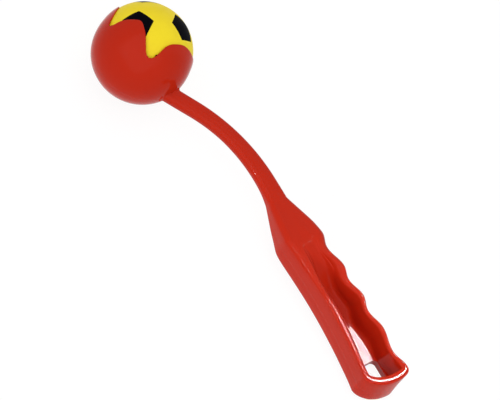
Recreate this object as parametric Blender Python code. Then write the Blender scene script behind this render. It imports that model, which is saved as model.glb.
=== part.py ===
"""Hand-held ball thrower for dogs: one moulded thrower, and the ball that its cup grips.

Lengths are in metres. The thrower lies on its closed side, so the plane that it is swung
in is level: +X points to the finger side, +Y from the handle to the cup, and +Z out of the
handle's open side. The origin is the middle of the base of the whole part's box.
Angles round the cup are measured about its opening axis, which lies in the throw plane.
"""
import math

import bmesh
import bpy
from mathutils import Matrix, Vector

# Ball
BALL_DIAMETER = 0.0635
PANEL_THICKNESS = 0.0008
PANEL_GAP = 0.0003
PANEL_INSET = 0.0004
PANEL_STEPS = 2
DARK_PANELS = 12
BALL_TURN = (-14.3, -21.9, -17.8)

# Cup
BALL_CLEARANCE = 0.0003
BALL_LIFT = 0.0019
CUP_WALL = 0.00125
CUP_TIP_WALL = 0.0006
CUP_LEAN = 30.0
CUP_SEGMENTS = 44
CUP_RINGS = 11
# Edge of the cup on its upper half: degrees round the axis, from the outer claw at -90 to the
# arm's side at 90, and degrees of shell from the cup's back to the edge there.
CUP_EDGE = (
    (-90.0, 108.0), (-74.0, 107.0), (-66.0, 101.0), (-61.5, 88.0), (-57.0, 81.5), (-50.0, 84.0),
    (-43.0, 90.0), (-34.0, 92.5), (-27.0, 95.0), (-20.0, 93.0), (-13.0, 84.0), (-5.0, 71.0),
    (1.0, 62.5), (6.0, 60.5), (11.0, 64.0), (14.0, 75.0), (18.0, 86.5), (25.0, 94.5),
    (36.0, 101.5), (50.0, 105.5), (66.0, 107.5), (90.0, 108.0),
)

# Arm: a straight root at the cup, then an arc over the crown down to the neck
REACH = 0.2667
ARM_BOW = 0.0275
ARM_RADIUS = 0.118
ARM_ROOT_TURN = 31.0
ARM_NECK_TURN = -9.5
ARM_ROOT_WIDTH = 0.0096
ARM_NECK_WIDTH = 0.0130
ARM_THICKNESS = 0.0078
ARM_EDGE_RADIUS = 0.003

# Handle
HANDLE_OFFSET = 0.0250
HANDLE_WIDTH = 0.0245
HANDLE_THICKNESS = 0.026
GROOVE_DEPTH = 0.0031
END_CORNER_RADIUS = 0.0078
END_LEAN = 0.0028
SHOULDER_EDGE_RADIUS = 0.0040
BASE_EDGE_RADIUS = 0.0035
RIM_RADIUS = 0.0010

# Trough in the handle, open upwards
TROUGH_WALL = 0.0032
TROUGH_DEPTH = 0.0215
TROUGH_DRAFT = 0.0010
TROUGH_FLOOR_RADIUS = 0.0020

# Hang hole through the trough's floor near the handle's end
HOLE_LENGTH = 0.0145
HOLE_MARGIN = 0.0006
HOLE_END_MARGIN = 0.0027
HOLE_CORNER_RADIUS = 0.0032
CUT_OVERRUN = 0.004

# Places along the thrower, as shares of the reach from the cup's centre to the handle's end
CROWN_SHARE = 0.406
NECK_SHARES = (0.420, 0.622)
SHOULDER_FADE_SHARES = (0.675, 0.780)
TROUGH_SHARES = (0.560, 0.825)
CREST_SHARES = (0.595, 0.690, 0.778, 0.870)
VALLEY_SHARES = (0.635, 0.730, 0.818)
# Sides of the handle: shares of its width out from its middle, and of the reach
PALM_SHARES = (
    (0.420, 0.528), (0.530, 0.588), (0.488, 0.636), (0.475, 0.703), (0.503, 0.786),
    (0.567, 0.862), (0.650, 0.924), (0.690, 0.950),
)
SHOULDER_SHARES = ((0.440, 0.531), (0.505, 0.564))
CREST_OUT_SHARES = (0.525, 0.475)
LAST_VALLEY_SHARE = 0.6

# Other shares of the sizes that they go with
ROOT_SINK_SHARE = 0.92
INNER_SHARES = (0.68, 0.92)
RING_GAP_SHARE = 0.12
LEAST_SLANT_SHARE = 0.6
TIP_HEIGHT_SHARE = 0.36
CROWN_REACH_SHARE = 2.0
CROWN_LIFT_SHARES = (0, 0.33, 0.66)
PANEL_CORNER_SHARE = 1 / 3

# How finely the outline and the rounded edges are divided
ARM_STATIONS = 14
NECK_STATIONS = 8
GROOVE_STATIONS = 5
CORNER_STATIONS = 5
EDGE_STEPS = 2
BASE_STEPS = 3
EDGE_POINTS = 46
HOLE_STEPS = 4
CURVE_STEPS = 16
SHARP_ANGLE = 35.0
MERGE_DISTANCE = 0.00001

# Sizes worked out from the ones above
BALL_RADIUS = BALL_DIAMETER / 2
CAVITY_RADIUS = BALL_RADIUS + BALL_CLEARANCE
CUP_RADIUS = CAVITY_RADIUS + CUP_WALL
CUP_AXIS = Vector((math.cos(math.radians(CUP_LEAN)), math.sin(math.radians(CUP_LEAN)), 0))
CUP_SIDE = Vector((CUP_AXIS.y, -CUP_AXIS.x, 0))
UP = Vector((0, 0, 1))


def smoothstep(low, high, value):
    """Rise from 0 at low to 1 at high with level ends."""
    share = min(max((value - low) / (high - low), 0), 1)
    return share * share * (3 - 2 * share)


def blend(low, high, share):
    return low + (high - low) * share


def through_points(points, count):
    """Return count points spread evenly along a smooth curve through the given points."""
    ends = [2 * points[0] - points[1], *points, 2 * points[-1] - points[-2]]
    fine = []
    for a, b, c, d in zip(ends, ends[1:], ends[2:], ends[3:]):
        for step in range(CURVE_STEPS):
            t = step / CURVE_STEPS
            fine.append(0.5 * (2 * b + (c - a) * t + (2 * a - 5 * b + 4 * c - d) * t ** 2
                               + (3 * b - a - 3 * c + d) * t ** 3))
    fine.append(points[-1])
    return evenly(fine, count)


def evenly(points, count):
    """Return count points at even steps along a polyline."""
    lengths = [0]
    for a, b in zip(points, points[1:]):
        lengths.append(lengths[-1] + (b - a).length)
    spread = []
    at = 0
    for step in range(count):
        goal = lengths[-1] * step / (count - 1)
        while at < len(points) - 2 and lengths[at + 1] < goal:
            at += 1
        share = (goal - lengths[at]) / (lengths[at + 1] - lengths[at])
        spread.append(points[at].lerp(points[at + 1], share))
    return spread


def new_material(name, colour, roughness):
    material = bpy.data.materials.new(name)
    material.use_nodes = True
    shader = material.node_tree.nodes["Principled BSDF"]
    shader.inputs["Base Color"].default_value = (*colour, 1)
    shader.inputs["Roughness"].default_value = roughness
    shader.inputs["Metallic"].default_value = 0
    return material


def new_object(name, mesh_data, material=None):
    """Turn a bmesh into an object, with its faces pointing outwards."""
    bmesh.ops.recalc_face_normals(mesh_data, faces=mesh_data.faces)
    mesh = bpy.data.meshes.new(name)
    mesh_data.to_mesh(mesh)
    mesh_data.free()
    mesh.shade_smooth()
    mesh.set_sharp_from_angle(angle=math.radians(SHARP_ANGLE))
    thing = bpy.data.objects.new(name, mesh)
    bpy.context.scene.collection.objects.link(thing)
    if material:
        mesh.materials.append(material)
    return thing


def as_cutter(thing):
    thing.hide_render = True
    thing.display_type = "WIRE"
    return thing


def add_boolean(thing, other, operation):
    modifier = thing.modifiers.new(f"{operation.title()} {other.name}", "BOOLEAN")
    modifier.operation = operation
    modifier.object = other
    modifier.solver = "EXACT"


# Arm and handle

def arm_sides():
    """Return the arm's palm side and finger side, from inside the cup's wall to the neck."""
    centre = Vector((ARM_BOW - ARM_RADIUS, -REACH * CROWN_SHARE))
    root_turn = math.radians(ARM_ROOT_TURN)
    outward = Vector((math.cos(root_turn), math.sin(root_turn)))
    upward = Vector((-outward.y, outward.x))
    arc_start = centre + outward * ARM_RADIUS
    sink = CAVITY_RADIUS * ROOT_SINK_SHARE
    along = arc_start.dot(upward)
    root_length = -along - math.sqrt(along ** 2 - arc_start.length_squared + sink ** 2)
    whole_length = root_length + ARM_RADIUS * (root_turn - math.radians(ARM_NECK_TURN))
    palm, finger = [], []
    for station in range(ARM_STATIONS):
        share = station / (ARM_STATIONS - 1)
        along = whole_length * share
        turn = root_turn - max(along - root_length, 0) / ARM_RADIUS
        outward = Vector((math.cos(turn), math.sin(turn)))
        middle = centre + outward * ARM_RADIUS + upward * max(root_length - along, 0)
        half = blend(ARM_ROOT_WIDTH, ARM_NECK_WIDTH, share ** 2) / 2
        palm.append(middle - outward * half)
        finger.append(middle + outward * half)
    return palm, finger


def handle_point(out_share, reach_share):
    return Vector((HANDLE_OFFSET + HANDLE_WIDTH * out_share, -REACH * reach_share))


def finger_grooves():
    """Return the finger side from its first crest to its end corner, dipping between crests."""
    end = 1 - END_CORNER_RADIUS / REACH
    last_valley = blend(CREST_SHARES[-1], end, LAST_VALLEY_SHARE)
    turns = sorted(CREST_SHARES + VALLEY_SHARES) + [last_valley, end]
    points = []
    for number, (start, end) in enumerate(zip(turns, turns[1:])):
        for step in range(GROOVE_STATIONS):
            share = blend(start, end, (step + 1) / GROOVE_STATIONS)
            rise = (1 - math.cos(math.pi * (step + 1) / GROOVE_STATIONS)) / 2
            dip = rise if number % 2 == 0 else 1 - rise
            out = blend(*CREST_OUT_SHARES, (share - turns[0]) / (turns[-1] - turns[0]))
            points.append(handle_point(out, share) - Vector((GROOVE_DEPTH * dip, 0)))
    return points


def handle_sides(palm_start, finger_start):
    """Return the handle's palm side and finger side, matched point by point."""
    first_crest = handle_point(CREST_OUT_SHARES[0], CREST_SHARES[0])
    shoulder = [finger_start, *[handle_point(*shares) for shares in SHOULDER_SHARES], first_crest]
    finger = through_points(shoulder, NECK_STATIONS + 1)[1:] + finger_grooves()
    palm = [palm_start, *[handle_point(-out, share) for out, share in PALM_SHARES]]
    palm.append(Vector((palm[-1].x, END_CORNER_RADIUS - REACH)))
    return through_points(palm, len(finger) + 1)[1:], finger


def end_corners(palm_end, finger_end):
    """Return the rounded end of the outline, from the palm side to the finger side."""
    arc = []
    for side, inward, first in ((palm_end, 1, math.pi), (finger_end, -1, 1.5 * math.pi)):
        middle = side + Vector((inward * END_CORNER_RADIUS, 0))
        for step in range(CORNER_STATIONS + 1):
            angle = first + math.pi / 2 * step / CORNER_STATIONS
            arc.append(middle + END_CORNER_RADIUS * Vector((math.cos(angle), math.sin(angle))))
    return arc[1:-1]


def neck_share(y):
    """Return 0 along the arm and 1 along the handle, rising through the neck."""
    return smoothstep(*NECK_SHARES, -y / REACH)


def half_thickness(y):
    return blend(ARM_THICKNESS, HANDLE_THICKNESS, neck_share(y)) / 2


def trough_depth(y):
    return TROUGH_DEPTH * smoothstep(*TROUGH_SHARES, -y / REACH)


def top_radius(y):
    """Return the radius of the upper edge: soft on the arm and shoulder, tight on the rim."""
    shoulder = blend(ARM_EDGE_RADIUS, SHOULDER_EDGE_RADIUS, neck_share(y))
    return blend(shoulder, RIM_RADIUS, smoothstep(*SHOULDER_FADE_SHARES, -y / REACH))


def edge_profile(y, reach):
    """Return the section's (inset, height) points from its base, up the wall, into the trough."""
    half = half_thickness(y)
    base = blend(ARM_EDGE_RADIUS, BASE_EDGE_RADIUS, neck_share(y))
    top = top_radius(y)
    depth = trough_depth(y)
    floor_radius = min(TROUGH_FLOOR_RADIUS, depth / 2)
    wall = max(TROUGH_WALL, top + RIM_RADIUS)
    slope = TROUGH_DRAFT * depth / TROUGH_DEPTH
    quarter = math.pi / 2
    profile = []
    for step in range(BASE_STEPS + 1):
        angle = quarter * step / BASE_STEPS
        profile.append((base * (1 - math.sin(angle)), base * (1 - math.cos(angle)) - half))
    for step in range(EDGE_STEPS + 1):
        angle = quarter * step / EDGE_STEPS
        profile.append((top * (1 - math.cos(angle)), half - top * (1 - math.sin(angle))))
    inner = [(wall, half)]
    for step in range(EDGE_STEPS + 1):
        angle = quarter * step / EDGE_STEPS
        inner.append((wall + slope + floor_radius * (1 - math.cos(angle)),
                      half - depth + floor_radius * (1 - math.sin(angle))))
    for number, (inset, height) in enumerate(inner):
        share = number / (len(inner) - 1)
        least = wall + reach * RING_GAP_SHARE * share
        room = reach * blend(*INNER_SHARES, share)
        profile.append((min(max(inset, least), room), height))
    return profile


def close_loop_edges(mesh_data, ring):
    return [mesh_data.edges.get(pair) for pair in zip(ring, ring[1:] + ring[:1])]


def extrude_ring(mesh_data, ring, places):
    """Extrude a closed ring of vertices and move the new ring to the given places."""
    made = bmesh.ops.extrude_edge_only(mesh_data, edges=close_loop_edges(mesh_data, ring))
    fresh = {item for item in made["geom"] if isinstance(item, bmesh.types.BMVert)}
    following = []
    for vert, place in zip(ring, places):
        twin = next(edge.other_vert(vert) for edge in vert.link_edges
                    if edge.other_vert(vert) in fresh)
        twin.co = place
        following.append(twin)
    return following


def close_across(mesh_data, ring, stations):
    """Close a ring with faces from its palm side to its finger side, and one at its end."""
    last = len(ring) - 1
    for near in range(stations - 1):
        mesh_data.faces.new((ring[near], ring[near + 1], ring[last - near - 1], ring[last - near]))
    mesh_data.faces.new(ring[stations - 1:len(ring) - stations + 1])


def build_stem():
    """Build the arm and handle as one skin: rings that follow the outline, each further in."""
    palm, finger = arm_sides()
    more_palm, more_finger = handle_sides(palm[-1], finger[-1])
    palm += more_palm
    finger += more_finger
    corners = end_corners(palm[-1], finger[-1])
    outline = palm + corners + finger[::-1]
    spine = [(a + b) / 2 for a, b in zip(palm, finger)]
    spine_end = Vector((spine[-1].x, HANDLE_WIDTH / 2 - REACH))
    spine = [middle if middle.y > spine_end.y else spine_end for middle in spine]
    targets = spine + [spine_end] * len(corners) + spine[::-1]
    profiles, inwards = [], []
    for number, (place, target) in enumerate(zip(outline, targets)):
        nearby = outline[max(number - 1, 0):number + 2]
        along = (nearby[-1] - nearby[0]).normalized()
        inward = (target - place).normalized()
        slant = max(inward.dot(Vector((-along.y, along.x))), LEAST_SLANT_SHARE)
        inwards.append(inward / slant)
        profiles.append(edge_profile(place.y, (target - place).length * slant))
    mesh_data = bmesh.new()
    ring = None
    for level in range(len(profiles[0])):
        places = []
        for place, inward, profile in zip(outline, inwards, profiles):
            inset, height = profile[level]
            flat = place + inward * inset
            sunk = (HANDLE_THICKNESS / 2 - height) / HANDLE_THICKNESS
            lean = END_LEAN * sunk * smoothstep(REACH - END_CORNER_RADIUS, REACH, -flat.y)
            places.append(Vector((flat.x, flat.y - lean, height)))
        if ring is None:
            ring = [mesh_data.verts.new(place) for place in places]
            for pair in zip(ring, ring[1:] + ring[:1]):
                mesh_data.edges.new(pair)
            close_across(mesh_data, ring, len(palm))
        else:
            ring = extrude_ring(mesh_data, ring, places)
    close_across(mesh_data, ring, len(palm))
    bmesh.ops.triangulate(mesh_data, faces=[face for face in mesh_data.faces if len(face.verts) > 4])
    return mesh_data


# Cup

def cup_frame():
    """Return the turn that takes +Z to the cup's opening axis and +X towards the arm."""
    return Matrix((CUP_SIDE, -UP, CUP_AXIS)).transposed().to_4x4()


def turned_solid(profile):
    """Spin a profile of (radius, height) points, from the lower pole to the upper one."""
    mesh_data = bmesh.new()
    verts = [mesh_data.verts.new((radius, 0, height)) for radius, height in profile]
    edges = [mesh_data.edges.new(pair) for pair in zip(verts, verts[1:])]
    bmesh.ops.spin(mesh_data, geom=verts + edges, axis=(0, 0, 1), cent=(0, 0, 0),
                   angle=math.tau, steps=CUP_SEGMENTS, use_merge=True)
    bmesh.ops.remove_doubles(mesh_data, verts=mesh_data.verts, dist=MERGE_DISTANCE)
    bmesh.ops.transform(mesh_data, matrix=cup_frame(), verts=mesh_data.verts)
    return mesh_data


def bowl_profile(radius, rim_radius, rim_height):
    """Return a half round from the back pole to the widest point, then a wall up to the rim."""
    profile = []
    for step in range(CUP_RINGS + 1):
        angle = math.pi / 2 * step / CUP_RINGS
        profile.append((radius * math.sin(angle), -radius * math.cos(angle)))
    return profile + [(rim_radius, rim_height), (0, rim_height)]


def cup_edge_directions():
    """Return directions from the cup's centre to its edge, once round."""
    half = through_points([Vector(point) for point in CUP_EDGE], EDGE_POINTS)
    half = [(point.x, point.y) for point in half]
    whole = half + [(180 - turn, shell) for turn, shell in half[-2:0:-1]]
    directions = []
    for turn, shell in whole:
        turn, shell = math.radians(turn), math.radians(shell)
        sideways = Vector((math.sin(turn), -math.cos(turn), 0)) * math.sin(shell)
        directions.append((sideways, -math.cos(shell), shell, turn))
    return directions


def crown_cutter():
    """Build what lies past the cup's edge: a cone from the centre through the edge, and a cap."""
    mesh_data = bmesh.new()
    reach = CUP_RADIUS * CROWN_REACH_SHARE
    directions = cup_edge_directions()
    centre = mesh_data.verts.new((0, 0, 0))
    pole = mesh_data.verts.new((0, 0, reach))
    rings = []
    for lift in CROWN_LIFT_SHARES:
        ring = []
        for _, _, shell, turn in directions:
            angle = blend(shell, math.pi, lift)
            ring.append(mesh_data.verts.new((reach * math.sin(angle) * math.sin(turn),
                                             -reach * math.sin(angle) * math.cos(turn),
                                             -reach * math.cos(angle))))
        rings.append(ring)
    count = len(directions)
    for this in range(count):
        after = (this + 1) % count
        mesh_data.faces.new((centre, rings[0][this], rings[0][after]))
        for low, high in zip(rings, rings[1:]):
            mesh_data.faces.new((low[this], high[this], high[after], low[after]))
        mesh_data.faces.new((pole, rings[-1][after], rings[-1][this]))
    bmesh.ops.transform(mesh_data, matrix=cup_frame(), verts=mesh_data.verts)
    return mesh_data


def hang_hole_cutter():
    """Build a round-cornered block that goes through the trough's floor, close to its walls."""
    mesh_data = bmesh.new()
    walls = TROUGH_WALL + TROUGH_DRAFT + HOLE_MARGIN
    radius = HOLE_CORNER_RADIUS
    left = handle_point(-PALM_SHARES[-1][0], 1).x + walls + radius
    right = handle_point(CREST_OUT_SHARES[1], 1).x - GROOVE_DEPTH - walls - radius
    low = TROUGH_WALL + TROUGH_DRAFT + HOLE_END_MARGIN + radius - REACH
    high = low + HOLE_LENGTH - 2 * radius
    bottom = -HANDLE_THICKNESS / 2 - CUT_OVERRUN
    ring = []
    for number, (x, y) in enumerate(((right, high), (left, high), (left, low), (right, low))):
        for step in range(HOLE_STEPS + 1):
            angle = math.pi / 2 * (number + step / HOLE_STEPS)
            ring.append(mesh_data.verts.new((x + radius * math.cos(angle),
                                             y + radius * math.sin(angle), bottom)))
    face = mesh_data.faces.new(ring)
    made = bmesh.ops.extrude_face_region(mesh_data, geom=[face])
    upper = [item for item in made["geom"] if isinstance(item, bmesh.types.BMVert)]
    bmesh.ops.translate(mesh_data, vec=(0, 0, HANDLE_THICKNESS / 2), verts=upper)
    return mesh_data


def build_thrower():
    """Build the moulding: cup, arm and handle are one piece."""
    plastic = new_material("red_plastic", (0.55, 0.03, 0.015), 0.25)
    tip_height = CUP_RADIUS * TIP_HEIGHT_SHARE
    stem = as_cutter(new_object("stem_shape", build_stem()))
    blank = bowl_profile(CUP_RADIUS, CAVITY_RADIUS + CUP_TIP_WALL, tip_height)
    cavity = bowl_profile(CAVITY_RADIUS, CAVITY_RADIUS, tip_height + CUT_OVERRUN)
    cavity_cutter = as_cutter(new_object("cavity_shape", turned_solid(cavity)))
    crown = as_cutter(new_object("crown_shape", crown_cutter()))
    hole = as_cutter(new_object("hang_hole_shape", hang_hole_cutter()))
    thrower = new_object("thrower", turned_solid(blank), plastic)
    add_boolean(thrower, stem, "UNION")
    add_boolean(thrower, cavity_cutter, "DIFFERENCE")
    add_boolean(thrower, crown, "DIFFERENCE")
    add_boolean(thrower, hole, "DIFFERENCE")
    return thrower, (stem, cavity_cutter, crown, hole)


# Ball

def panelled_ball():
    """Build a ball of 12 five-sided and 20 six-sided panels, and return the five-sided ones."""
    mesh_data = bmesh.new()
    bmesh.ops.create_icosphere(mesh_data, subdivisions=1, radius=1)
    edge = mesh_data.edges[:][0].calc_length()
    bmesh.ops.bevel(mesh_data, geom=mesh_data.verts, offset=edge * PANEL_CORNER_SHARE, affect="VERTICES",
                    segments=1, profile=0.5, material=-1)
    mark = mesh_data.faces.layers.int.new("panel")
    dark = [face for face in mesh_data.faces if len(face.verts) == 5]
    for number, face in enumerate(dark):
        face[mark] = number + 1
    bmesh.ops.poke(mesh_data, faces=mesh_data.faces)
    bmesh.ops.subdivide_edges(mesh_data, edges=mesh_data.edges, cuts=PANEL_STEPS, use_grid_fill=True)
    for vert in mesh_data.verts:
        vert.co = vert.co.normalized() * BALL_RADIUS
    return mesh_data, mark


def build_ball_body():
    """Sink the dark panels' seats into the ball."""
    mesh_data, mark = panelled_ball()
    seats = [face for face in mesh_data.faces if face[mark]]
    made = bmesh.ops.extrude_face_region(mesh_data, geom=seats)
    for item in made["geom"]:
        if isinstance(item, bmesh.types.BMVert):
            item.co = item.co.normalized() * (BALL_RADIUS - PANEL_THICKNESS - PANEL_GAP)
    bmesh.ops.delete(mesh_data, geom=seats, context="FACES")
    return mesh_data


def build_panel(number):
    """Build one dark panel, a little smaller than its seat and flush with the ball."""
    mesh_data, mark = panelled_ball()
    bmesh.ops.delete(mesh_data, geom=[face for face in mesh_data.faces if face[mark] != number],
                     context="FACES")
    middle = sum((vert.co for vert in mesh_data.verts), Vector()).normalized() * BALL_RADIUS
    reach = max((vert.co - middle).length for vert in mesh_data.verts)
    for vert in mesh_data.verts:
        vert.co = middle + (vert.co - middle) * (1 - PANEL_INSET / reach)
        vert.co = vert.co.normalized() * BALL_RADIUS
    made = bmesh.ops.extrude_face_region(mesh_data, geom=mesh_data.faces[:])
    for item in made["geom"]:
        if isinstance(item, bmesh.types.BMVert):
            item.co = item.co.normalized() * (BALL_RADIUS - PANEL_THICKNESS)
    return mesh_data


def build_ball():
    yellow = new_material("yellow_rubber", (0.85, 0.62, 0.03), 0.4)
    black = new_material("black_rubber", (0.008, 0.008, 0.012), 0.4)
    seat = bpy.data.objects.new("ball_release_axis", None)
    seat.location = CUP_AXIS * BALL_LIFT
    seat.rotation_euler = CUP_AXIS.to_track_quat("Z", "Y").to_euler()
    bpy.context.scene.collection.objects.link(seat)
    turn = Matrix.Rotation(0, 4, "X")
    for degrees, axis in zip(BALL_TURN, "XYZ"):
        turn = Matrix.Rotation(math.radians(degrees), 4, axis) @ turn
    unturn = seat.rotation_euler.to_matrix().to_4x4().inverted()
    pieces = [("ball", build_ball_body(), yellow)]
    for number in range(1, DARK_PANELS + 1):
        pieces.append((f"ball_panel_{number:02d}", build_panel(number), black))
    for name, mesh_data, material in pieces:
        bmesh.ops.transform(mesh_data, matrix=unturn @ turn, verts=mesh_data.verts)
        piece = new_object(name, mesh_data, material)
        piece.parent = seat
    return seat


def stand_on_origin(shown, movable):
    """Move everything so that the middle of the base of the whole box is at the origin."""
    bpy.context.view_layer.update()
    graph = bpy.context.evaluated_depsgraph_get()
    corners = []
    for thing in shown:
        mesh = thing.evaluated_get(graph).to_mesh()
        corners += [thing.matrix_world @ vert.co for vert in mesh.vertices]
        thing.evaluated_get(graph).to_mesh_clear()
    low = Vector(min(corner[axis] for corner in corners) for axis in range(3))
    high = Vector(max(corner[axis] for corner in corners) for axis in range(3))
    shift = Vector(((low.x + high.x) / 2, (low.y + high.y) / 2, low.z))
    for thing in movable:
        thing.location -= shift


def main():
    for thing in list(bpy.data.objects):
        bpy.data.objects.remove(thing, do_unlink=True)
    thrower, cutters = build_thrower()
    seat = build_ball()
    stand_on_origin([thrower, *seat.children], [thrower, seat, *cutters])


main()
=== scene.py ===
"""Dog ball thrower: a red moulded thrower with a panelled ball in its cup, in a plain white studio.

Lengths are in metres, in the frame of the CAD model. The outlines are written from the cup's
centre, with +X towards the finger side, +Y towards the cup and +Z out of the open handle.
"""
import math

import bmesh
import bpy
from mathutils import Matrix, Vector


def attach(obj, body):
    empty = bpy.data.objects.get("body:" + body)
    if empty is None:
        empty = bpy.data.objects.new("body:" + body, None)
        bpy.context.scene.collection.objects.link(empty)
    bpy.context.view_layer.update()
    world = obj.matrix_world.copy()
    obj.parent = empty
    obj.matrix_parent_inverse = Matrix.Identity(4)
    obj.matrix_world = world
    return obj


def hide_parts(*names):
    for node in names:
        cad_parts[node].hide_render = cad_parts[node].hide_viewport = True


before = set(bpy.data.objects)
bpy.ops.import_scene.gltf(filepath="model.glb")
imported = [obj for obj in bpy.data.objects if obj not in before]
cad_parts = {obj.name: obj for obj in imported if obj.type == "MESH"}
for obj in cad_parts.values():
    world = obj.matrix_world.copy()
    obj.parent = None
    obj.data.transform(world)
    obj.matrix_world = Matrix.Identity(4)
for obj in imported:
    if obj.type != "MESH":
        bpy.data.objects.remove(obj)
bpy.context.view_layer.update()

# Cup and ball in the CAD model's places, with the ball turned as its black panels lie in the photo
CUP_CENTRE = Vector((-0.0023, 0.11773, 0.03221))
CUP_AXIS = Vector((math.cos(math.radians(30)), math.sin(math.radians(30)), 0))
CUP_SIDE = Vector((CUP_AXIS.y, -CUP_AXIS.x, 0))
BALL_LIFT = 0.0019
BALL_RADIUS = 0.03175
BALL_TURN = (-13.5, -24.0, -18.5)
PANEL_DEPTH = 0.0006
PANEL_SEAT_DEPTH = 0.0004

# Cup wall and its clawed edge: degrees round the axis on the upper half, degrees of shell.
# The seat is the round that trims the arm's root inside the wall.
CUP_INSIDE = 0.03205
CUP_OUTSIDE = 0.0333
TIP_OUTSIDE = 0.0328
TIP_GAP = 0.0001
THINNEST_TIP = 0.0007
TIP_THINNING = (60, 95)
SEAT_MARGIN = 0.0004
SEAT_SEGMENTS = (96, 48)
CUP_EDGE = (
    (-90.0, 117.0), (-80.0, 116.5), (-73.0, 115.0), (-71.0, 113.3), (-68.7, 111.0),
    (-66.1, 104.5), (-64.1, 97.0), (-63.3, 89.3), (-62.8, 84.3), (-62.1, 80.6), (-61.1, 78.9),
    (-59.2, 78.5), (-52.6, 80.5), (-49.5, 83.0), (-45.0, 85.9), (-38.4, 88.7), (-31.5, 90.6),
    (-26.0, 91.9), (-22.5, 91.0), (-19.6, 88.5), (-15.9, 84.1), (-12.9, 80.5), (-10.4, 76.8),
    (-6.7, 70.6), (-2.1, 63.4), (0.7, 60.1), (4.0, 57.8), (7.0, 57.4), (10.3, 59.0), (12.5, 62.1),
    (13.8, 66.3), (14.5, 70.3), (15.0, 74.3), (16.0, 78.7), (18.0, 82.8), (21.2, 87.2),
    (25.2, 90.9), (30.7, 95.3), (35.6, 98.3), (42.0, 100.6), (47.0, 101.8), (53.0, 102.9),
    (60.0, 104.0), (75.0, 107.0), (90.0, 109.5),
)

# Arm: a straight root at the cup, then an arc over the crown down to the neck
REACH = 0.2667
ARM_BOW = 0.0275
ARM_RADIUS = 0.118
ARM_ROOT_TURN = 31.0
ARM_NECK_TURN = -8.6
CROWN_SHARE = 0.406
ARM_ROOT_WIDTH = 0.0096
ARM_NECK_WIDTH = 0.0130
ARM_THICKNESS = 0.0078
ARM_EDGE_RADIUS = 0.0030
ROOT_FLARE_RADIUS = 0.0014
ROOT_START_SHARE = 0.85
ROOT_SWELL = 0.0011
ROOT_SWELL_END = 0.55
PALM_EXTRA = 0.0003
FINGER_EXTRA = 0.0002

# Section of the arm and handle. Pairs ending in SHARES are where along the reach a form changes.
BASE_RADII = (0.0035, 0.0052)
BASE_END_SHARES = (0.93, 1.0)
TOP_RADII = (0.0042, 0.0009)
TOP_SHARPER_SHARES = (0.62, 0.76)
TOP_CROWN = 0.0002
RIM_CROWN = 0.00003
RIM_CROWN_SHARES = (0.62, 0.72)
RIM_ROOM = 0.35
INNER_ROOM = 0.8
LEAST_WALL = 0.0004

# Handle, with its sides as shares of its width out from its middle and of the reach
HANDLE_OFFSET = 0.0250
HANDLE_WIDTH = 0.0245
HANDLE_THICKNESS = 0.026
GROOVE_DEPTH = 0.0031
PALM_END = (0.0064, -0.2550)
FINGER_END = (0.0378, -0.2608)
END_POINTS = (
    (0.0068, -0.2574), (0.0081, -0.2597), (0.0104, -0.2620), (0.0132, -0.2639), (0.0163, -0.2652),
    (0.0197, -0.2662), (0.0243, -0.2668), (0.0289, -0.2668), (0.0331, -0.2662), (0.0360, -0.2650),
    (0.0375, -0.2632),
)
END_LEAN = 0.0023
END_LEAN_CUT = 0.5
END_CORNER_DRAW = 0.0030
END_CORNER_X = (0.027, 0.0365)
END_FLARE_SHARE = 0.945
NECK_SHARES = (0.420, 0.622)
ROUNDER_SHARES = (0.50, 0.56)
PALM_SIDE = (
    (0.0156, -0.1377), (0.0133, -0.1468), (0.0115, -0.1533), (0.0113, -0.1575), (0.0117, -0.1650),
    (0.0121, -0.1767), (0.0123, -0.1871), (0.0122, -0.1975), (0.0118, -0.2079), (0.0111, -0.2183),
    (0.0102, -0.2287), (0.0090, -0.2391), (0.0077, -0.2490),
)
SHOULDER_SHARES = ((0.440, 0.531), (0.505, 0.564))
CREST_OUT_SHARES = (0.535, 0.515)
CREST_SHARES = (0.595, 0.690, 0.778, 0.870)
VALLEY_SHARES = (0.635, 0.730, 0.818)
LAST_VALLEY_SHARE = 0.565

# Trough and hang hole
TROUGH_SHARES = (0.595, 0.810)
TROUGH_DEPTH = 0.0215
FLOOR_TILT = 0.22
FLOOR_LOW_X = 0.0180
PALM_RIM_WIDTHS = (0.0052, 0.0037)
PALM_RIM_SHARES = (0.80, 0.95)
END_RIM_WIDTH = 0.0056
FINGER_RIM_WIDTH = 0.0030
WALL_LEAN = 2.7
LIP_RADII = (0.009, 0.0017)
LIP_SHARPER_SHARES = (0.62, 0.79)
LEAST_RIM = 0.0006
FLOOR_RADII = (0.008, 0.0026, 0.0016)
FLOOR_SHARPER_SHARES = ((0.60, 0.80), (0.88, 0.94))
FLOOR_BORDER = 0.0007
HOLE_CORNERS = ((0.0129, -0.2598), (0.0305, -0.2445))
HOLE_TAPER = 0.0022
HOLE_CORNER_RADIUS = 0.0030
HOLE_CUT_HEIGHT = 0.016
HOLE_CUT_MIDDLE = -0.012

# How finely the shapes are divided
CURVE_STEPS = 24
CUP_SEGMENTS = 360
CUP_EDGE_POINTS = 720
SHELL_RINGS = 30
LIP_STEPS = 5
ARM_STATIONS = 90
ARM_EVENNESS = 0.4
NECK_STATIONS = 26
GROOVE_STATIONS = 16
PALM_POINTS = 400
END_STATIONS = 44
END_SHARED = 9
EDGE_STEPS = 6
HOLE_CORNER_STEPS = 8
BALL_CUTS = 9

# How often lines are evened out, and past which degrees an edge is a crease
FINGER_ROUNDS = 4
PALM_ROUNDS = 3
WIDTH_ROUNDS = 60
INWARD_ROUNDS = 6
RIM_LEVEL = 19
RIM_ROUNDS = 0.35
CREASE = 30.0

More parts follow.
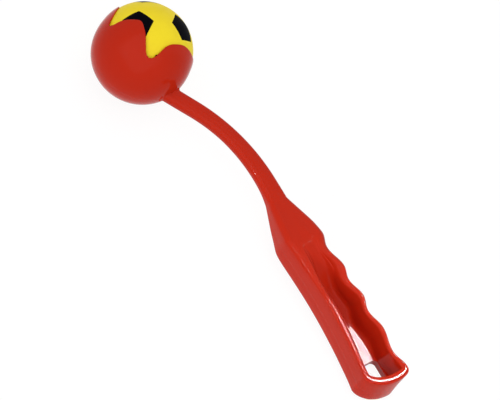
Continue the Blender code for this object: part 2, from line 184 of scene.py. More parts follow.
# Camera: where the photograph was taken from, and how it is framed
VIEW_AZIMUTH = -69.0
VIEW_ELEVATION = 59.0
VIEW_SLANT = 121.65
MM_PER_PIXEL = 0.640
CUP_PIXEL = (142.4, 53.0)
IMAGE_WIDTH, IMAGE_HEIGHT = 500, 400
CAMERA_DISTANCE = 4.0
SENSOR = 0.036

# Light: soft from all round, with what the camera and reflections see of the floor
SOFT_LIGHT = 0.49
FLOOR_SIZE = 3
FLOOR_GAP = 0.0005
FLOOR_WHITE = (0.9, 0.9, 0.9)
FLOOR_GLOW = 0.9
FLOOR_GREY = (0.13, 0.13, 0.13)

# Lamps: three large ones, and the edge of the shine that the handle's end mirrors
LAMP_DISTANCE = 1.4
WALL_SIZE = (2.4, 2.4)
END_SHINE_EDGE = ((0.037, -0.207), (0.010, -0.262))
END_SHINE_WIDTH = 0.032
END_LAMP_WIDER = 1.35

# Base colours, the darker and lighter tones of the marks in them, and how strongly each mirrors
RED = (0.52, 0.021, 0.006)
RED_TONES = (0.955, 1.03)
RED_IOR = 1.15
YELLOW = (0.930, 0.730, 0.0180)
YELLOW_TONES = ((0.90, 0.70, 0.017), (0.95, 0.75, 0.019))
YELLOW_IOR = 1.25
BLACK = (0.0024, 0.0024, 0.0044)
BLACK_TONES = ((0.0014, 0.0014, 0.0028), (0.0026, 0.0026, 0.0048))
BLACK_IOR = 1.06


def smoothstep(low, high, value):
    """Return 0 below low and 1 above high, with a soft rise between."""
    share = min(max((value - low) / (high - low), 0), 1)
    return share * share * (3 - 2 * share)


def blend(low, high, share):
    """Return the value a share of the way from low to high."""
    return low + (high - low) * share


def through_points(points, count):
    """Return count points spread evenly along a smooth curve through the given points."""
    ends = [2 * points[0] - points[1], *points, 2 * points[-1] - points[-2]]
    fine = []
    for a, b, c, d in zip(ends, ends[1:], ends[2:], ends[3:]):
        for step in range(CURVE_STEPS):
            t = step / CURVE_STEPS
            fine.append(0.5 * (2 * b + (c - a) * t + (2 * a - 5 * b + 4 * c - d) * t ** 2
                               + (3 * b - a - 3 * c + d) * t ** 3))
    fine.append(points[-1])
    return evenly(fine, count)


def evenly(points, count):
    """Return count points at even steps along a polyline."""
    lengths = [0]
    for a, b in zip(points, points[1:]):
        lengths.append(lengths[-1] + (b - a).length)
    spread = []
    at = 0
    for step in range(count):
        goal = lengths[-1] * step / (count - 1)
        while at < len(points) - 2 and lengths[at + 1] < goal:
            at += 1
        spread.append(points[at].lerp(points[at + 1],
                                      (goal - lengths[at]) / (lengths[at + 1] - lengths[at])))
    return spread


def smoothed(points, rounds):
    """Return points evened out along their line, with both ends kept."""
    for _ in range(rounds):
        inner = [(a + b * 2 + c) / 4 for a, b, c in zip(points, points[1:], points[2:])]
        points = [points[0], *inner, points[-1]]
    return points


def new_piece(name, mesh_data, material=None):
    """Turn a bmesh into an object with smooth faces, creased only at real edges."""
    mesh = bpy.data.meshes.new(name)
    mesh_data.to_mesh(mesh)
    mesh_data.free()
    mesh.shade_smooth()
    mesh.set_sharp_from_angle(angle=math.radians(CREASE))
    piece = bpy.data.objects.new(name, mesh)
    bpy.context.scene.collection.objects.link(piece)
    if material:
        mesh.materials.append(material)
    return piece


# Materials

class Finish:
    """A procedural material: a shader and the nodes that feed its colour, gloss and relief."""

    def __init__(self, name, colour, roughness, **sockets):
        self.material = bpy.data.materials.new(name)
        self.material.use_nodes = True
        self.tree = self.material.node_tree
        self.shader = self.tree.nodes["Principled BSDF"]
        self.shader.inputs["Base Color"].default_value = (*colour, 1)
        self.shader.inputs["Roughness"].default_value = roughness
        for socket, value in sockets.items():
            self.shader.inputs[socket.replace("_", " ")].default_value = value
        self.place = self.add("ShaderNodeTexCoord").outputs["Object"]
        self.relief = None

    def add(self, kind, **settings):
        node = self.tree.nodes.new(kind)
        for key, value in settings.items():
            setattr(node, key, value)
        return node

    def join(self, output, socket):
        self.tree.links.new(output, socket)

    def noise(self, scale, detail=2.0, roughness=0.5, stretch=None):
        """Return a noise value over the surface, stretched along an axis if asked."""
        node = self.add("ShaderNodeTexNoise")
        node.inputs["Scale"].default_value = scale
        node.inputs["Detail"].default_value = detail
        node.inputs["Roughness"].default_value = roughness
        place = self.place
        if stretch:
            mapping = self.add("ShaderNodeMapping")
            mapping.inputs["Scale"].default_value = stretch
            self.join(place, mapping.inputs["Vector"])
            place = mapping.outputs["Vector"]
        self.join(place, node.inputs["Vector"])
        return node.outputs["Fac"]

    def ramp(self, value, *stops):
        node = self.add("ShaderNodeValToRGB")
        elements = node.color_ramp.elements
        while len(elements) < len(stops):
            elements.new(0.5)
        for element, (position, colour) in zip(elements, stops):
            element.position = position
            element.color = (*colour, 1) if isinstance(colour, tuple) else (colour,) * 3 + (1,)
        self.join(value, node.inputs["Fac"])
        return node.outputs["Color"]

    def bump(self, value, depth):
        """Add a height to the surface's relief."""
        node = self.add("ShaderNodeBump")
        node.inputs["Distance"].default_value = depth
        node.inputs["Strength"].default_value = 1.0
        self.join(value, node.inputs["Height"])
        if self.relief:
            self.join(self.relief, node.inputs["Normal"])
        self.relief = node.outputs["Normal"]
        self.join(self.relief, self.shader.inputs["Normal"])

    def line(self, axis, at, half_width):
        """Return 1 in a thin band across one axis, and 0 beside it."""
        parts = self.add("ShaderNodeSeparateXYZ")
        self.join(self.place, parts.inputs["Vector"])
        away = self.add("ShaderNodeMath", operation="SUBTRACT")
        self.join(parts.outputs[axis], away.inputs[0])
        away.inputs[1].default_value = at
        size = self.add("ShaderNodeMath", operation="ABSOLUTE")
        self.join(away.outputs[0], size.inputs[0])
        band = self.add("ShaderNodeMapRange", interpolation_type="SMOOTHSTEP")
        band.inputs["From Min"].default_value = half_width
        band.inputs["From Max"].default_value = 0
        self.join(size.outputs[0], band.inputs["Value"])
        return band.outputs["Result"]


def moulded_plastic():
    """Glossy red plastic: flow marks, faint scuffs and a parting line at mid thickness."""
    finish = Finish("red_moulded_plastic", RED, 0.08, IOR=RED_IOR)
    flow = finish.noise(16, detail=3, stretch=(1.0, 0.35, 1.0))
    darker, lighter = (tuple(tone * channel for channel in RED) for tone in RED_TONES)
    finish.join(finish.ramp(flow, (0.3, darker), (0.7, lighter)),
                finish.shader.inputs["Base Color"])
    scuffs = finish.noise(230, detail=4, roughness=0.65)
    finish.join(finish.ramp(scuffs, (0.35, 0.06), (0.75, 0.10)),
                finish.shader.inputs["Roughness"])
    finish.bump(finish.noise(45, detail=2), 0.00006)
    finish.bump(finish.line("Z", CUP_CENTRE.z, 0.00022), 0.00008)
    return finish.material


def ball_rubber(name, colour, tones, ior):
    """Satin rubber with a fine moulded grain and faint marks."""
    dark, light = tones
    finish = Finish(name, colour, 0.55, IOR=ior)
    marks = finish.noise(55, detail=4, roughness=0.6)
    finish.join(finish.ramp(marks, (0.3, dark), (0.7, light)), finish.shader.inputs["Base Color"])
    grain = finish.noise(1400, detail=2)
    finish.bump(grain, 0.00002)
    finish.join(finish.ramp(grain, (0.2, 0.5), (0.8, 0.6)), finish.shader.inputs["Roughness"])
    return finish.material


# Thrower: the stem is skinned by rings that follow its outline, each further in

def root_flare(distance):
    """Return how far the arm swells where it runs into the cup, at a distance from the cup."""
    short = max(ROOT_FLARE_RADIUS - max(distance, 0), 0)
    return ROOT_FLARE_RADIUS - math.sqrt(ROOT_FLARE_RADIUS ** 2 - short ** 2)


def arm_sides():
    """Return the arm's palm side, finger side, swelling and crosswise directions, from the cup."""
    centre = Vector((ARM_BOW - ARM_RADIUS, -REACH * CROWN_SHARE))
    root_turn = math.radians(ARM_ROOT_TURN)
    outward = Vector((math.cos(root_turn), math.sin(root_turn)))
    upward = Vector((-outward.y, outward.x))
    arc_start = centre + outward * ARM_RADIUS
    rise = arc_start.dot(upward)
    start = CUP_INSIDE * ROOT_START_SHARE
    root_length = -rise - math.sqrt(rise ** 2 - arc_start.length_squared + start ** 2)
    whole = root_length + ARM_RADIUS * (root_turn - math.radians(ARM_NECK_TURN))
    palm, finger, flares, across = [], [], ([], []), []
    for station in range(ARM_STATIONS):
        share = station / (ARM_STATIONS - 1)
        along = whole * blend(share ** 2, share, ARM_EVENNESS)
        turn = root_turn - max(along - root_length, 0) / ARM_RADIUS
        outward = Vector((math.cos(turn), math.sin(turn)))
        middle = centre + outward * ARM_RADIUS + upward * max(root_length - along, 0)
        half = blend(ARM_ROOT_WIDTH, ARM_NECK_WIDTH, (along / whole) ** 2) / 2
        swell = ROOT_SWELL * (1 - smoothstep(0, ROOT_SWELL_END, along / whole))
        for side, half_width, way, flared in (
                (palm, half + swell + PALM_EXTRA, -outward, flares[0]),
                (finger, half + FINGER_EXTRA, outward, flares[1])):
            place = middle + way * half_width
            flared.append(root_flare(place.length - CUP_OUTSIDE))
            side.append(place + way * flared[-1])
        across.append(outward)
    return palm, finger, flares, across


def handle_point(out_share, reach_share):
    """Return the point at a share of the handle's width and a share of the reach."""
    return Vector((HANDLE_OFFSET + HANDLE_WIDTH * out_share, -REACH * reach_share))


def finger_grooves():
    """Return the finger side from its first crest to its end corner, dipping between crests."""
    end = -FINGER_END[1] / REACH
    last_valley = blend(CREST_SHARES[-1], end, LAST_VALLEY_SHARE)
    turns = sorted(CREST_SHARES + VALLEY_SHARES) + [last_valley, end]
    points = []
    for number, (start, stop) in enumerate(zip(turns, turns[1:])):
        for step in range(GROOVE_STATIONS):
            share = blend(start, stop, (step + 1) / GROOVE_STATIONS)
            rise = (1 - math.cos(math.pi * (step + 1) / GROOVE_STATIONS)) / 2
            dip = rise if number % 2 == 0 else 1 - rise
            out = blend(*CREST_OUT_SHARES, (share - turns[0]) / (turns[-1] - turns[0]))
            point = handle_point(out, share)
            flare = (FINGER_END[0] - point.x) * smoothstep(END_FLARE_SHARE, end, share)
            points.append(point + Vector((flare - GROOVE_DEPTH * dip, 0)))
    return points


def handle_sides(palm_start, finger_start):
    """Return the handle's palm side and finger side, matched point by point."""
    first_crest = handle_point(CREST_OUT_SHARES[0], CREST_SHARES[0])
    shoulder = [finger_start, *[handle_point(*shares) for shares in SHOULDER_SHARES], first_crest]
    neck = through_points(shoulder, NECK_STATIONS + 1)[1:]
    finger = smoothed(neck + finger_grooves(), FINGER_ROUNDS)
    palm = [palm_start, *map(Vector, PALM_SIDE), Vector(PALM_END)]
    palm = through_points(palm, PALM_POINTS)
    return smoothed(evenly(palm, len(finger) + 1)[1:], PALM_ROUNDS), finger


def end_outline(palm_end, finger_end):
    """Return the outline's end, bowed a little, with a wide palm corner and a tight finger one."""
    points = through_points([palm_end, *map(Vector, END_POINTS), finger_end], END_STATIONS + 2)
    return points[1:-1]


def edge_profile(y, room, flare, width):
    """Return the section's (inset, height) points: base, wall, rim, and down into the trough."""
    share = -y / REACH
    neck = smoothstep(*NECK_SHARES, share)
    half = blend(ARM_THICKNESS, HANDLE_THICKNESS, neck) / 2 + flare * 0.5
    base = blend(ARM_EDGE_RADIUS, BASE_RADII[0], neck)
    base = blend(base, BASE_RADII[1], smoothstep(*BASE_END_SHARES, share))
    top = blend(ARM_EDGE_RADIUS, TOP_RADII[0], neck)
    top = blend(top, TOP_RADII[1], smoothstep(*TOP_SHARPER_SHARES, share))
    depth = TROUGH_DEPTH * smoothstep(*TROUGH_SHARES, share)
    lip = blend(*LIP_RADII, smoothstep(*LIP_SHARPER_SHARES, share))
    floor = blend(*FLOOR_RADII[:2], smoothstep(*FLOOR_SHARPER_SHARES[0], share))
    floor = blend(floor, FLOOR_RADII[2], smoothstep(*FLOOR_SHARPER_SHARES[1], share))
    rim = min(max(width - lip, top + LEAST_RIM), blend(top, room, RIM_ROOM))
    steep = math.radians(90 - WALL_LEAN)
    drop = (lip + floor) * (1 - math.cos(steep))
    straight = max(depth - drop, 0) / math.sin(steep) + LEAST_WALL
    if depth < drop:
        steep = math.acos(1 - depth / (lip + floor))
    profile = []
    for step in range(EDGE_STEPS + 1):
        angle = math.pi / 2 * step / EDGE_STEPS
        profile.append((base * (1 - math.sin(angle)), base * (1 - math.cos(angle)) - half))
    for step in range(1, 4):
        profile.append((0, blend(base - half, half - top, step / 4)))
    for step in range(EDGE_STEPS + 1):
        angle = math.pi / 2 * step / EDGE_STEPS
        profile.append((top * (1 - math.cos(angle)), half - top * (1 - math.sin(angle))))
    crown = RIM_CROWN * smoothstep(*RIM_CROWN_SHARES, share)
    for step in (1, 2, 3):
        across = step / 4
        profile.append((blend(top, rim, across), half + crown * 4 * across * (1 - across)))
    inner = []
    for step in range(EDGE_STEPS + 1):
        angle = steep * step / EDGE_STEPS
        inner.append((rim + lip * math.sin(angle), half - lip * (1 - math.cos(angle))))
    start = inner[-1]
    for step in range(1, 4):
        run = straight * step / 3
        inner.append((start[0] + run * math.cos(steep), start[1] - run * math.sin(steep)))
    start = inner[-1]
    for step in range(1, EDGE_STEPS + 1):
        angle = steep * (1 - step / EDGE_STEPS)
        inner.append((start[0] + floor * (math.sin(steep) - math.sin(angle)),
                      start[1] - floor * (math.cos(angle) - math.cos(steep))))
    inner.append((inner[-1][0] + FLOOR_BORDER, inner[-1][1]))
    reach = INNER_ROOM * room - rim
    natural = min(1, reach / max(inner[-1][0] - rim, 0.0001))
    steepness = smoothstep(0, drop, depth)
    for number, (inset, height) in enumerate(inner):
        share = (number + 1) / len(inner)
        inset = rim + blend(reach * share, (inset - rim) * natural, steepness)
        profile.append((inset, height + TOP_CROWN * share * (1 - steepness)))
    return profile


def close_across(mesh_data, ring, stations):
    """Close a ring from its palm side to its finger side, and its round end with one face."""
    last = len(ring) - 1
    sides = [mesh_data.edges.get(pair) for pair in zip(ring[:stations - 1], ring[1:stations])]
    sides += [mesh_data.edges.get((ring[last - n], ring[last - n - 1]))
              for n in range(stations - 1)]
    bmesh.ops.bridge_loops(mesh_data, edges=sides)
    end = ring[stations - 1:len(ring) - stations + 1]
    mesh_data.faces.new(end)


def build_stem():
    """Build the arm and handle as one skin."""
    palm, finger, (palm_flares, finger_flares), across = arm_sides()
    more_palm, more_finger = handle_sides(palm[-1], finger[-1])
    palm += more_palm
    finger += more_finger
    corners = end_outline(palm[-1], finger[-1])
    outline = palm + corners + finger[::-1]
    flares = palm_flares + [0] * (len(outline) - 2 * len(palm_flares)) + finger_flares[::-1]
    widths = [blend(*PALM_RIM_WIDTHS, smoothstep(*PALM_RIM_SHARES, -place.y / REACH))
              for place in palm]
    widths += [END_RIM_WIDTH] * len(corners) + [FINGER_RIM_WIDTH] * len(finger)
    widths = smoothed(widths, WIDTH_ROUNDS)
    spine = [(a + b) / 2 for a, b in zip(palm, finger)]
    spine_end = Vector((spine[-1].x, HANDLE_WIDTH / 2 - REACH))
    targets = spine + [spine_end] * len(corners) + spine[::-1]
    inwards = []
    for number in range(len(outline)):
        nearby = outline[max(number - 1, 0):number + 2]
        along = (nearby[-1] - nearby[0]).normalized()
        inwards.append(Vector((-along.y, along.x)))
    last = len(outline) - 1
    for number, outward in enumerate(across):
        inwards[number] = outward
        inwards[last - number] = -outward
    inwards = smoothed(inwards, INWARD_ROUNDS)
    profiles = []
    for place, target, inward, *sizes in zip(outline, targets, inwards, flares, widths):
        inward.normalize()
        profiles.append(edge_profile(place.y, (target - place).dot(inward), *sizes))
    mesh_data = bmesh.new()
    made = bmesh.ops.create_circle(mesh_data, segments=len(outline), radius=1)
    ring = made["verts"]
    for level in range(len(profiles[0])):
        if level:
            edges = [mesh_data.edges.get(pair) for pair in zip(ring, ring[1:] + ring[:1])]
            extruded = bmesh.ops.extrude_edge_only(mesh_data, edges=edges)
            fresh = {item for item in extruded["geom"] if isinstance(item, bmesh.types.BMVert)}
            ring = [next(edge.other_vert(vert) for edge in vert.link_edges
                         if edge.other_vert(vert) in fresh) for vert in ring]
        flats = [place + inward * profile[level][0]
                 for place, inward, profile in zip(outline, inwards, profiles)]
        rounder = smoothed(flats, int(RIM_ROUNDS * max(level - RIM_LEVEL, 0) ** 2))
        flats = [flat.lerp(even, smoothstep(*ROUNDER_SHARES, -place.y / REACH))
                 for flat, even, place in zip(flats, rounder, outline)]
        for vert, flat, profile in zip(ring, flats, profiles):
            height = profile[level][1]
            sunk = (HANDLE_THICKNESS / 2 - height) / HANDLE_THICKNESS
            if level > RIM_LEVEL:
                deep = max(HANDLE_THICKNESS / 2 - height, 0) / TROUGH_DEPTH
                trough = smoothstep(*TROUGH_SHARES, -flat.y / REACH)
                height += deep * trough * FLOOR_TILT * (flat.x - FLOOR_LOW_X)
            near_end = smoothstep(-PALM_END[1], REACH, -flat.y)
            corner = smoothstep(*END_CORNER_X, flat.x)
            lean = END_LEAN * sunk * near_end * (1 - END_LEAN_CUT * corner)
            draw = END_CORNER_DRAW * sunk ** 2 * near_end * corner
            vert.co = (flat.x - draw, flat.y - lean + draw, height)
        if level == 0:
            close_across(mesh_data, ring, len(palm) - END_SHARED)
    close_across(mesh_data, ring, len(palm) - END_SHARED)
    wide = [face for face in mesh_data.faces if len(face.verts) > 4]
    bmesh.ops.triangulate(mesh_data, faces=wide)
    bmesh.ops.recalc_face_normals(mesh_data, faces=mesh_data.faces)
    return mesh_data


def cup_edge_shell():
    """Return a list of (degrees round, degrees of shell) along the cup's edge, once round."""
    half = through_points([Vector(point) for point in CUP_EDGE], CUP_EDGE_POINTS)
    whole = [(point.x, point.y) for point in half]
    return whole + [(180 - turn, shell) for turn, shell in whole[-2::-1]]


def build_cup():
    """Spin the cup's wall round its axis, then draw its edge out into claws and notches."""
    mesh_data = bmesh.new()
    path = [(ring / SHELL_RINGS, 1.0) for ring in range(SHELL_RINGS + 1)]
    path += [(1.0, math.cos(math.pi * step / LIP_STEPS)) for step in range(1, LIP_STEPS)]
    path += [(ring / SHELL_RINGS, -1.0) for ring in range(SHELL_RINGS, -1, -1)]
    verts = [mesh_data.verts.new((share, 0, side)) for share, side in path]
    edges = [mesh_data.edges.new(pair) for pair in zip(verts, verts[1:])]
    bmesh.ops.spin(mesh_data, geom=verts + edges, axis=(0, 0, 1), cent=(0, 0, 0),
                   angle=math.tau, steps=CUP_SEGMENTS, use_merge=True)
    bmesh.ops.remove_doubles(mesh_data, verts=mesh_data.verts, dist=0.000001)
    edge_turns = cup_edge_shell()
    for vert in mesh_data.verts:
        share, side = math.hypot(vert.co.x, vert.co.y), vert.co.z
        turn = math.degrees(math.atan2(vert.co.y, vert.co.x))
        turn = turn if turn > -90 else turn + 360
        at = next(n for n in range(1, len(edge_turns)) if edge_turns[n][0] >= turn - 1e-6)
        (low, low_shell), (high, high_shell) = edge_turns[at - 1], edge_turns[at]
        reach = blend(low_shell, high_shell, (turn - low) / (high - low))
        shell = math.radians(reach) * share
        if abs(side) < 1:
            shell += (CUP_OUTSIDE - CUP_INSIDE) / 2 * math.sqrt(1 - side ** 2) / CUP_OUTSIDE
        inside = max(CUP_INSIDE, BALL_RADIUS + TIP_GAP - BALL_LIFT * math.cos(shell))
        thinned = smoothstep(*map(math.radians, TIP_THINNING), shell)
        outside = blend(CUP_OUTSIDE, TIP_OUTSIDE, thinned)
        outside = max(outside, inside + THINNEST_TIP)
        radius = blend(inside, outside, (side + 1) / 2)
        around = math.radians(turn)
        vert.co = radius * (math.sin(shell) * (math.sin(around) * CUP_SIDE
                                               + math.cos(around) * Vector((0, 0, 1)))
                            - math.cos(shell) * CUP_AXIS)
    bmesh.ops.recalc_face_normals(mesh_data, faces=mesh_data.faces)
    return mesh_data


def build_ball_seat():
    """Build the round that trims the arm's root inside the cup's wall."""
    mesh_data = bmesh.new()
    bmesh.ops.create_uvsphere(mesh_data, u_segments=SEAT_SEGMENTS[0],
                              v_segments=SEAT_SEGMENTS[1], radius=CUP_INSIDE + SEAT_MARGIN)
    return mesh_data


def build_hang_hole():
    """Build the round-cornered cutter of the hang hole, wider on its finger side below."""
    mesh_data = bmesh.new()
    bmesh.ops.create_cube(mesh_data, size=1)
    (left, low), (right, high) = HOLE_CORNERS
    bmesh.ops.scale(mesh_data, vec=(right - left, high - low, HOLE_CUT_HEIGHT),
                    verts=mesh_data.verts)
    middle = ((left + right) / 2, (low + high) / 2, HOLE_CUT_MIDDLE)
    bmesh.ops.translate(mesh_data, vec=middle, verts=mesh_data.verts)
    for vert in mesh_data.verts:
        if vert.co.z < HOLE_CUT_MIDDLE and vert.co.x > left + 0.001:
            vert.co.x += HOLE_TAPER
    upright = [edge for edge in mesh_data.edges
               if abs(edge.verts[0].co.z - edge.verts[1].co.z) > 0.001]
    bmesh.ops.bevel(mesh_data, geom=upright, offset=HOLE_CORNER_RADIUS, affect="EDGES",
                    segments=HOLE_CORNER_STEPS, profile=0.5, material=-1)
    return mesh_data


def cut_and_join(piece, *steps):
    """Run boolean steps on a piece and keep the mesh that comes out."""
    for other, operation in steps:
        modifier = piece.modifiers.new(operation, "BOOLEAN")
        modifier.operation = operation
        modifier.object = other
        modifier.solver = "EXACT"
    graph = bpy.context.evaluated_depsgraph_get()
    mesh = bpy.data.meshes.new_from_object(piece.evaluated_get(graph))
    piece.modifiers.clear()
    piece.data = mesh
    for other, _ in steps:
        bpy.data.objects.remove(other)


def build_thrower():
    """Join the cup and the stem into one moulding, open at the trough and the hang hole."""
    plastic = moulded_plastic()
    stem = new_piece("stem", build_stem())
    cut_and_join(stem, (new_piece("seat", build_ball_seat()), "DIFFERENCE"),
                 (new_piece("hole", build_hang_hole()), "DIFFERENCE"))
    thrower = new_piece("thrower_moulding", build_cup(), plastic)
    cut_and_join(thrower, (stem, "UNION"))
    thrower.data.materials.clear()
    thrower.data.materials.append(plastic)
    for face in thrower.data.polygons:
        face.material_index = 0
    thrower.data.shade_smooth()
    thrower.data.set_sharp_from_angle(angle=math.radians(CREASE))
    thrower.data.transform(Matrix.Translation(CUP_CENTRE))
    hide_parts("thrower")
    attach(thrower, "thrower")


# Ball

def panelled_ball(radius):
    """Build a ball of 12 five-sided and 20 six-sided panels, and mark the five-sided ones."""
    mesh_data = bmesh.new()
    bmesh.ops.create_icosphere(mesh_data, subdivisions=1, radius=1)
    edge = mesh_data.edges[:][0].calc_length()
    bmesh.ops.bevel(mesh_data, geom=mesh_data.verts, offset=edge / 3, affect="VERTICES",
                    segments=1, profile=0.5, material=-1)
    mark = mesh_data.faces.layers.int.new("panel")
    number = 0
    for face in mesh_data.faces:
        if len(face.verts) == 5:
            number += 1
            face[mark] = number
    bmesh.ops.poke(mesh_data, faces=mesh_data.faces)
    bmesh.ops.subdivide_edges(mesh_data, edges=mesh_data.edges, cuts=BALL_CUTS, use_grid_fill=True)
    for vert in mesh_data.verts:
        vert.co = vert.co.normalized() * radius
    return mesh_data, mark


def ball_matrix():
    """Return the ball's place in the cup and its way round."""
    turn = Matrix.Identity(4)
    for degrees, axis in zip(BALL_TURN, "XYZ"):
        turn = Matrix.Rotation(math.radians(degrees), 4, axis) @ turn
    return Matrix.Translation(CUP_CENTRE + CUP_AXIS * BALL_LIFT) @ turn


def build_ball():
    """Build the yellow ball with a shallow seat for each black panel, and the panels."""
    yellow = ball_rubber("yellow_ball_rubber", YELLOW, YELLOW_TONES, YELLOW_IOR)
    black = ball_rubber("black_ball_rubber", BLACK, BLACK_TONES, BLACK_IOR)
    for name, keep_dark, material, slot in (
            ("ball_yellow_panels", False, yellow, "yellow_rubber"),
            ("ball_black_panels", True, black, "black_rubber")):
        mesh_data, mark = panelled_ball(BALL_RADIUS)
        if keep_dark:
            others = [face for face in mesh_data.faces if not face[mark]]
            bmesh.ops.delete(mesh_data, geom=others, context="FACES")
            rims = [edge for edge in mesh_data.edges if edge.is_boundary]
            made = bmesh.ops.extrude_edge_only(mesh_data, edges=rims)
            low = [item for item in made["geom"] if isinstance(item, bmesh.types.BMVert)]
            for vert in low:
                vert.co = vert.co.normalized() * (BALL_RADIUS - PANEL_DEPTH)
            bmesh.ops.holes_fill(mesh_data, edges=[e for e in mesh_data.edges if e.is_boundary],
                                 sides=0)
        else:
            dark = [face for face in mesh_data.faces if face[mark]]
            rim = {edge for face in dark for edge in face.edges
                   if any(not other[mark] for other in edge.link_faces)}
            inner = {vert for face in dark for vert in face.verts}
            inner -= {vert for edge in rim for vert in edge.verts}
            for vert in inner:
                vert.co = vert.co.normalized() * (BALL_RADIUS - PANEL_SEAT_DEPTH)
        bmesh.ops.recalc_face_normals(mesh_data, faces=mesh_data.faces)
        bmesh.ops.transform(mesh_data, matrix=ball_matrix(), verts=mesh_data.verts)
        piece = new_piece(name, mesh_data, material)
        if keep_dark:
            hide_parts(*[f"ball_panel_{n:02d}" for n in range(1, 13)])
        else:
            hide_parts("ball")
        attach(piece, "ball")


# Studio

def camera_directions():
    """Return the camera's right, up and back, turned so that the arm lies as photographed."""
    azimuth, elevation = math.radians(VIEW_AZIMUTH), math.radians(VIEW_ELEVATION)
    back = Vector((math.sin(azimuth) * math.cos(elevation),
                   -math.cos(azimuth) * math.cos(elevation), math.sin(elevation)))
    right = Vector((0, 0, 1)).cross(back).normalized()
    up = back.cross(right)
    seen = math.atan2(up.y, right.y)
    turn = math.radians(VIEW_SLANT) - seen
    return (right * math.cos(turn) - up * math.sin(turn),
            right * math.sin(turn) + up * math.cos(turn), back)


def camera_spot():
    """Return where the camera stands, so that the cup lies at its place in the photograph."""
    right, up, back = camera_directions()
    pixel = MM_PER_PIXEL / 1000
    return (CUP_CENTRE + right * (IMAGE_WIDTH / 2 - CUP_PIXEL[0]) * pixel
            - up * (IMAGE_HEIGHT / 2 - CUP_PIXEL[1]) * pixel + back * CAMERA_DISTANCE)


def place_camera():
    """Place the camera and give it the photograph's framing."""
    right, up, back = camera_directions()
    data = bpy.data.cameras.new("camera")
    data.sensor_width = SENSOR * 1000
    view_width = IMAGE_WIDTH * MM_PER_PIXEL / 1000
    data.lens = data.sensor_width * CAMERA_DISTANCE / view_width
    data.clip_start, data.clip_end = 0.1, 20
    camera = bpy.data.objects.new("camera", data)
    bpy.context.scene.collection.objects.link(camera)
    turned = Matrix((right, up, back)).transposed().to_4x4()
    camera.matrix_world = Matrix.Translation(camera_spot()) @ turned
    bpy.context.scene.camera = camera


def split_by_ray(tree, plain, shown, output):
    """Show one shader to the camera, reflections and glass, and light all else by the plain one."""
    path = tree.nodes.new("ShaderNodeLightPath")
    seen = path.outputs["Is Camera Ray"]
    for kind in ("Is Glossy Ray", "Is Transmission Ray"):
        most = tree.nodes.new("ShaderNodeMath")
        most.operation = "MAXIMUM"
        tree.links.new(seen, most.inputs[0])
        tree.links.new(path.outputs[kind], most.inputs[1])
        seen = most.outputs[0]
    mix = tree.nodes.new("ShaderNodeMixShader")
    tree.links.new(seen, mix.inputs["Fac"])
    tree.links.new(plain.outputs[0], mix.inputs[1])
    tree.links.new(shown.outputs[0], mix.inputs[2])
    tree.links.new(mix.outputs[0], output.inputs["Surface"])


def build_floor():
    """Lay a white floor under the thrower, which rests on its cup and the handle's end."""
    mesh_data = bmesh.new()
    bmesh.ops.create_grid(mesh_data, x_segments=1, y_segments=1, size=FLOOR_SIZE)
    material = bpy.data.materials.new("white_floor")
    material.use_nodes = True
    tree = material.node_tree
    shader = tree.nodes["Principled BSDF"]
    shader.inputs["Base Color"].default_value = (*FLOOR_WHITE, 1)
    shader.inputs["Roughness"].default_value = 0.9
    glow = tree.nodes.new("ShaderNodeEmission")
    glow.inputs["Strength"].default_value = FLOOR_GLOW
    grey = tree.nodes.new("ShaderNodeBsdfDiffuse")
    grey.inputs["Color"].default_value = (*FLOOR_GREY, 1)
    both = tree.nodes.new("ShaderNodeAddShader")
    tree.links.new(glow.outputs[0], both.inputs[0])
    tree.links.new(grey.outputs[0], both.inputs[1])
    split_by_ray(tree, shader, both, tree.nodes["Material Output"])
    floor = new_piece("floor", mesh_data, material)
    low_cup = Vector((CUP_CENTRE.x, CUP_CENTRE.y, CUP_CENTRE.z - CUP_OUTSIDE))
    handle_base = CUP_CENTRE.z - HANDLE_THICKNESS / 2
    tilt = math.atan2(handle_base - low_cup.z, REACH)
    floor.rotation_euler = (-tilt, 0, 0)
    floor.location = low_cup - Vector((0, 0, FLOOR_GAP))


def hang_lamp(name, at, toward, along, size, power, spread=180.0, shape="RECTANGLE"):
    """Hang a lamp a way off from a point and aim it there, its light as narrow as its spread."""
    along = (along - toward * along.dot(toward)).normalized()
    data = bpy.data.lights.new(name, "AREA")
    data.shape = shape
    data.size, data.size_y = size
    data.energy = power
    data.spread = math.radians(spread)
    light = bpy.data.objects.new(name, data)
    turned = Matrix((along, toward.cross(along), toward)).transposed().to_4x4()
    light.matrix_world = Matrix.Translation(at + toward * LAMP_DISTANCE) @ turned
    bpy.context.scene.collection.objects.link(light)


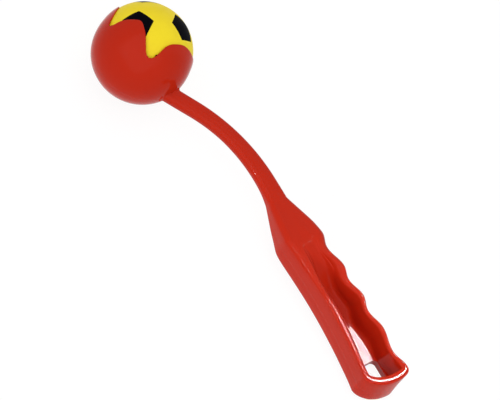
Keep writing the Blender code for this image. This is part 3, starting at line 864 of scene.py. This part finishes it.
def shine(name, at, facing, along, size, power, spread, shape="RECTANGLE"):
    """Hang a lamp where the camera sees it mirrored at a point that faces a given way."""
    at = CUP_CENTRE + Vector(at)
    facing = Vector(facing).normalized()
    seen = (camera_spot() - at).normalized()
    hang_lamp(name, at, 2 * seen.dot(facing) * facing - seen, Vector(along), size, power,
              spread, shape)


def light_studio():
    """Light the object softly, with three narrow lamps for the shines in the photograph.

    The narrow lamps also brighten the handle and neck around their shines.
    """
    scene = bpy.context.scene
    scene.view_settings.view_transform = "Standard"
    world = bpy.data.worlds.new("studio")
    world.use_nodes = True
    scene.world = world
    tree = world.node_tree
    soft = tree.nodes["Background"]
    soft.inputs["Color"].default_value = (1, 1, 1, 1)
    soft.inputs["Strength"].default_value = SOFT_LIGHT
    white = tree.nodes.new("ShaderNodeBackground")
    white.inputs["Color"].default_value = (1, 1, 1, 1)
    white.inputs["Strength"].default_value = 1.0
    split_by_ray(tree, soft, white, tree.nodes["World Output"])
    (start_x, start_y), (stop_x, stop_y) = END_SHINE_EDGE
    along = Vector((stop_x - start_x, stop_y - start_y, 0)).normalized()
    outward = Vector((-along.y, along.x, 0)) * END_SHINE_WIDTH / 2
    middle = Vector((start_x + stop_x, start_y + stop_y, HANDLE_THICKNESS)) / 2 + outward
    shine("end_strip", middle, (0, 0, 1), along, (0.13, END_SHINE_WIDTH * END_LAMP_WIDER),
          0.0056, 5.2)
    shine("floor_strip", (0.028, -0.232, -0.006), (-FLOOR_TILT, 0, 1), (-0.1, -1, 0),
          (0.15, 0.06), 0.0028, 4.2, "ELLIPSE")
    shine("neck_strip", (0.0135, -0.145, 0.012), (-1, 0, 1), (0, 1, 0), (0.12, 0.1), 0.0075, 9)
    middle, upward = CUP_CENTRE + Vector((0.01, -0.13, 0)), Vector((0, 1, 0))
    for name, toward, power in (("left_wall", (-0.55, -0.08, 0.82), 11.5),
                                ("right_wall", (0.80, 0.20, 0.60), 5.0),
                                ("front_wall", camera_spot() - middle, 5.0)):
        hang_lamp(name, middle, Vector(toward).normalized(), upward, WALL_SIZE, power)


build_thrower()
build_ball()
build_floor()
place_camera()
light_studio()
